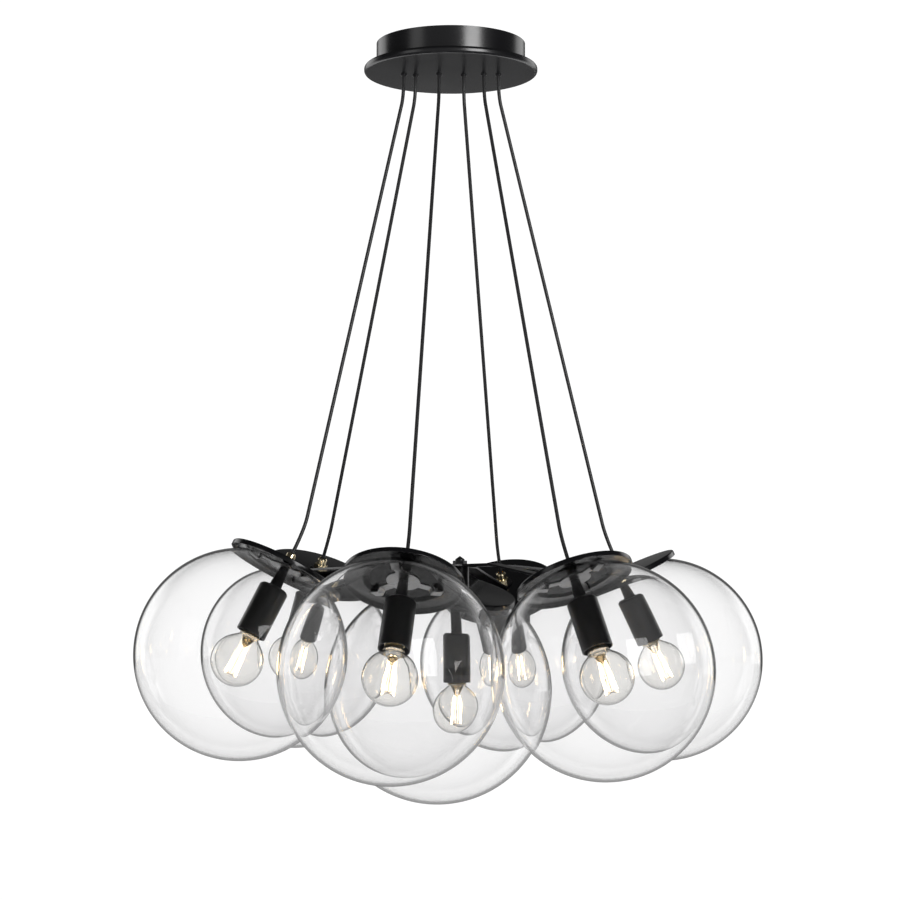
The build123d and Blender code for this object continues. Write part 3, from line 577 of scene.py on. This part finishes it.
# ---- lamp holders ------------------------------------------------------------------------------
# Smooth moulded black sleeves with a small bevel at the shoulder, under a slim cone. The middle
# one hangs on a straight stem instead, whose top is cut to the lean of its lid.

HOLDER_LOW = 0.025          # heights are measured up from the bulb's centre
HOLDER_HIGH = 0.070
HOLDER_RADIUS = 0.013
HOLDER_BEVEL = 0.002
HOLDER_WALL = 0.0012
HOLDER_FLOOR = 0.052
CONE_TIP = 0.08834
CONE_TOP_RADIUS = 0.0039
CONE_BASE_RADIUS = 0.0056
TAIL_RADIUS = 0.0030
TAIL_DEPTH = 0.0018
WIRE_BORE = 0.0018
STEM_RADIUS = 0.0053
STEM_CUT = 0.0001           # the depth of stem that is moved when its top is cut to the lean
HOLDER_SEGMENTS = 96

sleeve = smooth_surface("black_holder_moulding", tint=(0.010, 0.010, 0.012), roughness=0.34, ripple=0.05)
sleeve.node_tree.nodes["Principled BSDF"].inputs["Specular IOR Level"].default_value = 0.9
for number in range(1, 8):
    bulb, up = lamp_axis(number)
    inner = HOLDER_RADIUS - HOLDER_WALL
    corners = [(inner, HOLDER_LOW), (HOLDER_RADIUS, HOLDER_LOW),
               (HOLDER_RADIUS, HOLDER_HIGH - HOLDER_BEVEL), (HOLDER_RADIUS - HOLDER_BEVEL, HOLDER_HIGH)]
    radii = [0.0003, 0.0005, 0.0008, 0.0008]
    if number < 7:
        corners += [(CONE_BASE_RADIUS, HOLDER_HIGH), (CONE_TOP_RADIUS, CONE_TIP), (TAIL_RADIUS, CONE_TIP),
                    (TAIL_RADIUS, CONE_TIP - TAIL_DEPTH), (WIRE_BORE, CONE_TIP - TAIL_DEPTH)]
        radii += [0.0020, 0.0003, 0, 0, 0]
    else:
        stem_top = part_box("lamp_holder_7")[1].z - bulb[2]
        corners += [(STEM_RADIUS, HOLDER_HIGH), (STEM_RADIUS, stem_top), (TAIL_RADIUS, stem_top),
                    (TAIL_RADIUS, stem_top - 2 * TAIL_DEPTH), (WIRE_BORE, stem_top - 2 * TAIL_DEPTH)]
        radii += [0.0010, 0, 0, 0, 0]
    corners += [(WIRE_BORE, HOLDER_FLOOR), (inner, HOLDER_FLOOR)]
    radii += [0, 0.0005]
    shape, faces = turned(rounded(corners, radii), bulb, up, HOLDER_SEGMENTS)
    if number == 7:
        # the stem's top leans with the lid: each point near it drops by its distance down the slope
        centre, lean, radius = globe_axis(7)
        level = centre + lean * sqrt(radius**2 - MOUTH_RADIUS**2)
        cut = level[2] - ((shape[:, :2] - level[:2]) @ lean[:2]) / lean[2]
        shape[:, 2] = np.where(shape[:, 2] > bulb[2] + stem_top - STEM_CUT, cut, shape[:, 2])
    placed(f"holder_sleeve_{number}", [(shape, faces)], "cluster", sleeve,
           [f"lamp_holder_{number}"])

# ---- sockets -----------------------------------------------------------------------------------
# A brass screw shell on an insulating disc, up inside each sleeve, where only its rim is seen
# round the cap.

finish_node("lamp_sockets", brass)

# ---- bulbs -------------------------------------------------------------------------------------
# Golf-ball bulbs: a thin clear glass ball and neck, a nickel-plated screw cap, and inside them a
# glass stem that carries four glowing filaments between two small wire crosses.

BULB_RADIUS = 0.0225
BULB_WALL = 0.0008
NECK_RADIUS = 0.0083
NECK_HIGH = 0.0240
SHOULDER_ANGLE = 40.0
CAP_SKIRT_LOW = 0.0229
CAP_SKIRT_HIGH = 0.0244
CAP_FLARE_HIGH = 0.0275
CAP_THREAD_HIGH = 0.0430
CAP_HIGH = 0.0494
CAP_RADIUS = 0.0069
CAP_WALL = 0.0006
CAP_FIT = 0.0001
CONTACT_RADIUS = 0.0026
INSULATOR_RADIUS = 0.0046
INSULATOR_HEIGHT = 0.0022
THREAD_PITCH = 0.00282
THREAD_DEPTH = 0.00030
THREAD_STEPS = 10           # along one pitch
THREAD_FADE = 0.001
PRESS_HIGH = 0.0140
PRESS_RADIUS = 0.0022
ROD_RADIUS = 0.0012
ROD_LOW = -0.0130
FILAMENTS = 4
FILAMENT_RADIUS = 0.0008
FILAMENT_TOP = 0.0130
FILAMENT_TOP_CIRCLE = 0.0036
FILAMENT_LOW_CIRCLE = 0.0066
WIRE_RADIUS = 0.0003
BALL_STEPS = 48
BALL_SEGMENTS = 96
CAP_SEGMENTS = 72
STEM_SEGMENTS = 48
ROD_SEGMENTS = 20
WIRE_SEGMENTS = 10

bulb_glass = clear_glass("thin_bulb_glass", tint=(0.99, 0.985, 0.97), index=1.46)
stem_glass = clear_glass("pressed_stem_glass", tint=(0.99, 0.985, 0.97), index=1.46)
steel = worn_metal("bright_steel", tint=(0.62, 0.62, 0.64), roughness=0.22)
cap_metal = worn_metal("nickel_cap", tint=(0.74, 0.68, 0.56), roughness=0.26)
glow, nodes, links, shader = new_material("glowing_phosphor")
shader.inputs["Base Color"].default_value = (1.0, 0.75, 0.35, 1)
shader.inputs["Roughness"].default_value = 0.6
shader.inputs["Emission Color"].default_value = (1.0, 0.74, 0.42, 1)
shader.inputs["Emission Strength"].default_value = 14.0


def bulb_wall(radius, neck):
    """Outline of one face of the ball and neck: a circle, then its tangent in to the neck."""
    ball = arc(radius, 180, SHOULDER_ANGLE, BALL_STEPS)
    shoulder = ball[-1]
    reach = (shoulder[0] - neck) / cos(radians(SHOULDER_ANGLE))
    corner = (neck, shoulder[1] + reach * sin(radians(SHOULDER_ANGLE)))
    bend = rounded([shoulder, corner, (neck, NECK_HIGH)], [0, 0.0012, 0])
    return np.concatenate([ball[:-1], bend])


outer = bulb_wall(BULB_RADIUS, NECK_RADIUS)
inner = bulb_wall(BULB_RADIUS - BULB_WALL, NECK_RADIUS - BULB_WALL)[::-1]
ball = np.concatenate([outer, inner])

skirt = NECK_RADIUS + CAP_FIT
shell = CAP_RADIUS - 2 * CAP_WALL
rungs = np.arange(CAP_FLARE_HIGH, CAP_THREAD_HIGH, THREAD_PITCH / THREAD_STEPS)
cap_outside = [(skirt, CAP_SKIRT_LOW), (skirt + CAP_WALL, CAP_SKIRT_LOW),
               (skirt + CAP_WALL, CAP_SKIRT_HIGH), *((CAP_RADIUS, rung) for rung in rungs)]
cap = cap_outside + [
    (CAP_RADIUS, CAP_THREAD_HIGH), (INSULATOR_RADIUS, CAP_THREAD_HIGH + INSULATOR_HEIGHT),
    (CONTACT_RADIUS, CAP_HIGH - CAP_WALL), (CONTACT_RADIUS, CAP_HIGH), (0, CAP_HIGH),
    (0, CAP_THREAD_HIGH - CAP_WALL), (shell, CAP_THREAD_HIGH - CAP_WALL), (shell, CAP_FLARE_HIGH),
    (skirt, CAP_SKIRT_HIGH)]

flare = NECK_RADIUS - BULB_WALL - CAP_FIT
stem_corners = [(0, NECK_HIGH), (flare, NECK_HIGH), (flare, NECK_HIGH - BULB_WALL),
                (PRESS_RADIUS, PRESS_HIGH), (ROD_RADIUS, PRESS_HIGH - PRESS_RADIUS),
                (ROD_RADIUS, ROD_LOW), (0, ROD_LOW)]
stem = rounded(stem_corners, [0, 0.0003, 0.0003, 0.003, 0.001, 0.0005, 0])


def thread(height, turn):
    """A ridge that climbs one pitch a turn on the cap's outside, fading out at both its ends."""
    wave = np.cos(2 * pi * height / THREAD_PITCH - turn) - 1
    fade_in = np.clip((height - CAP_FLARE_HIGH) / THREAD_FADE, 0, 1)
    fade_out = np.clip((CAP_THREAD_HIGH - height) / THREAD_FADE, 0, 1)
    outside = (np.arange(len(height)) < len(cap_outside))[:, None]
    return wave * THREAD_DEPTH * fade_in * fade_out * outside


for number in range(1, 8):
    bulb, up = lamp_axis(number)
    body = f"bulb_{number}"
    placed(f"bulb_ball_{number}", [turned(ball, bulb, up, BALL_SEGMENTS)],
           body, bulb_glass, [f"bulb_glass_{number}"])
    placed(f"screw_cap_{number}", [turned(cap, bulb, up, CAP_SEGMENTS, thread)],
           body, cap_metal, [f"bulb_cap_{number}"])
    placed(f"glass_stem_{number}", [turned(stem, bulb, up, STEM_SEGMENTS)],
           body, stem_glass, [f"bulb_filaments_{number}"])

    side = np.cross(up, [0.0, 1.0, 0.0])
    side /= np.linalg.norm(side)
    front = np.cross(up, side)
    rods, wires = [], []
    for filament in range(FILAMENTS):
        turn = (filament + 0.5) * 2 * pi / FILAMENTS
        radial = side * cos(turn) + front * sin(turn)
        low = bulb + radial * FILAMENT_LOW_CIRCLE + up * ROD_LOW
        high = bulb + radial * FILAMENT_TOP_CIRCLE + up * FILAMENT_TOP
        reach = float(np.linalg.norm(high - low))
        rod = rounded([(0, 0), (FILAMENT_RADIUS, 0), (FILAMENT_RADIUS, reach), (0, reach)],
                      [0, 0.0004, 0.0004, 0])
        rods.append(turned(rod, low, high - low, ROD_SEGMENTS))
        for foot, hub in ((low, bulb + up * ROD_LOW), (high, bulb + up * FILAMENT_TOP)):
            span = float(np.linalg.norm(foot - hub))
            wire = [(0, 0), (WIRE_RADIUS, 0), (WIRE_RADIUS, span), (0, span)]
            wires.append(turned(wire, hub, foot - hub, WIRE_SEGMENTS))
    placed(f"filament_rods_{number}", rods, body, glow, [])
    placed(f"filament_wires_{number}", wires, body, steel, [])
